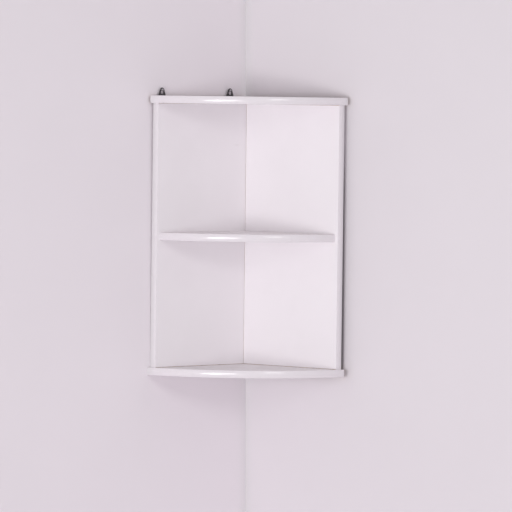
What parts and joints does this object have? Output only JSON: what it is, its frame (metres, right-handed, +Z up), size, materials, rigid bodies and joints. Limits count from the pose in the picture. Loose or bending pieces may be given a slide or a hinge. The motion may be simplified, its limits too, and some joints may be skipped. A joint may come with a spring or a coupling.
{
  "type": "corner cabinet",
  "caption": "Open quarter-round corner cabinet of laminated board: top, bottom and one shelf between side panels, domed edging, hung on a wall by steel keyhole plates.",
  "frame": {"origin": "on the underside's plane, under the middle of the cabinet's box, steel plates included", "axes": "+Z up; +Y out of the left panel's back, the hanging side; +X out of the right panel's back; the cabinet opens towards -X and -Y"},
  "size_m": [0.3, 0.302, 0.617],
  "materials": {
    "laminated_board": "chipboard faced with satin white melamine, raw chipboard on the hidden edges",
    "domed_edging": "glossy white moulded plastic edging",
    "plated_screws": "zinc plated steel",
    "screw_caps": "white moulded plastic",
    "beech_dowels": "bare beech",
    "hanger_steel": "dark phosphated pressed steel"
  },
  "bodies": {
    "root": {"top_board": "laminated_board", "bottom_board": "laminated_board", "middle_shelf": "laminated_board", "left_panel": "laminated_board", "right_panel": "laminated_board", "top_board_edging": "domed_edging", "bottom_board_edging": "domed_edging", "middle_shelf_edging": "domed_edging", "left_panel_edging": "domed_edging", "right_panel_edging": "domed_edging", "top_left_screws": "plated_screws", "top_right_screws": "plated_screws", "bottom_left_screws": "plated_screws", "bottom_right_screws": "plated_screws", "shelf_left_screws": "plated_screws", "shelf_right_screws": "plated_screws", "corner_screws": "plated_screws", "top_screw_caps": "screw_caps", "bottom_screw_caps": "screw_caps", "top_dowels": "beech_dowels", "bottom_dowels": "beech_dowels", "inner_hanger": "hanger_steel", "outer_hanger": "hanger_steel", "inner_hanger_screws": "plated_screws", "outer_hanger_screws": "plated_screws"}
  },
  "joints": []
}
